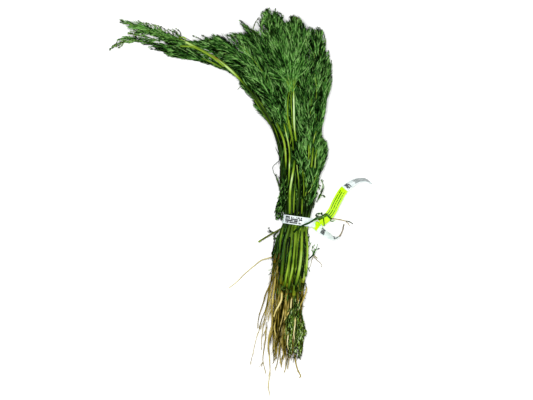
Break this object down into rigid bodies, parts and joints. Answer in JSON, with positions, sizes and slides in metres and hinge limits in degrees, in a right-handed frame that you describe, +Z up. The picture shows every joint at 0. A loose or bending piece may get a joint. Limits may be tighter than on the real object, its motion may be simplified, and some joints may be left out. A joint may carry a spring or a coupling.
{
  "type": "dill bunch",
  "caption": "Bunch of whole dill plants with feathery leaves, bare stems and roots, lying flat and held by a twist tie with loose ends.",
  "frame": {"origin": "under the middle of the bunch's bounding box, on the surface that it lies on", "axes": "+Y along the tied stems from the roots to the leaves, +X to the right seen from above, +Z up"},
  "size_m": [0.293, 0.4258, 0.0502],
  "materials": {
    "dill_green": "fresh green leaf and stem, moist satin sheen",
    "root_tan": "washed tan root, matte",
    "tie_strip": "coated white strip with a yellow-green printed panel"
  },
  "bodies": {
    "root": {"plant_01_leafy_stem": "dill_green", "plant_02_leafy_stem": "dill_green", "plant_03_leafy_stem": "dill_green", "plant_04_leafy_stem": "dill_green", "plant_05_leafy_stem": "dill_green", "plant_06_leafy_stem": "dill_green", "plant_07_leafy_stem": "dill_green", "plant_08_leafy_stem": "dill_green", "plant_09_leafy_stem": "dill_green", "plant_10_leafy_stem": "dill_green", "plant_11_leafy_stem": "dill_green", "plant_12_leafy_stem": "dill_green", "plant_13_leafy_stem": "dill_green", "plant_14_leafy_stem": "dill_green", "plant_15_leafy_stem": "dill_green", "plant_16_leafy_stem": "dill_green", "plant_17_leafy_stem": "dill_green", "plant_18_leafy_stem": "dill_green", "plant_19_leafy_stem": "dill_green", "plant_20_leafy_stem": "dill_green", "plant_21_leafy_stem": "dill_green", "plant_22_leafy_stem": "dill_green", "plant_23_leafy_stem": "dill_green", "plant_24_leafy_stem": "dill_green", "plant_25_leafy_stem": "dill_green", "plant_26_leafy_stem": "dill_green", "plant_27_leafy_stem": "dill_green", "plant_28_leafy_stem": "dill_green", "plant_01_root": "root_tan", "plant_02_root": "root_tan", "plant_03_root": "root_tan", "plant_04_root": "root_tan", "plant_05_root": "root_tan", "plant_06_root": "root_tan", "plant_07_root": "root_tan", "plant_08_root": "root_tan", "plant_09_root": "root_tan", "plant_10_root": "root_tan", "plant_11_root": "root_tan", "plant_12_root": "root_tan", "plant_13_root": "root_tan", "plant_14_root": "root_tan", "plant_15_root": "root_tan", "plant_16_root": "root_tan", "plant_17_root": "root_tan", "plant_18_root": "root_tan", "plant_19_root": "root_tan", "plant_20_root": "root_tan", "plant_21_root": "root_tan", "plant_22_root": "root_tan", "plant_23_root": "root_tan", "plant_24_root": "root_tan", "plant_25_root": "root_tan", "plant_26_root": "root_tan", "plant_27_root": "root_tan", "plant_28_root": "root_tan", "twist_tie": "tie_strip"}
  },
  "joints": []
}
